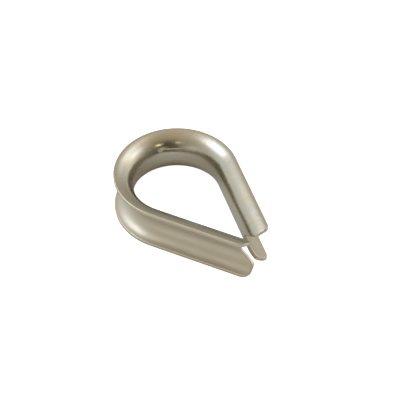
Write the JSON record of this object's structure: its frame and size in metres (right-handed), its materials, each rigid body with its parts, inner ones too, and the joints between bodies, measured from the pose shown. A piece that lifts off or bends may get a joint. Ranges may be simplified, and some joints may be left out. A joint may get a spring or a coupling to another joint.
{
  "type": "thimble eye",
  "caption": "Teardrop wire rope thimble: a C-shaped steel channel bent round an eye, with the rope groove outside and the leg ends meeting at a point.",
  "frame": {"origin": "centre of the round part of the eye, at mid height of the channel", "axes": "+X from the eye's centre to the tip where the legs meet, +Z along the axis of the eye, +Y across the legs"},
  "size_m": [0.0423, 0.0292, 0.0108],
  "materials": {
    "steel": "satin"
  },
  "bodies": {
    "root": {"thimble": "steel"}
  },
  "joints": []
}
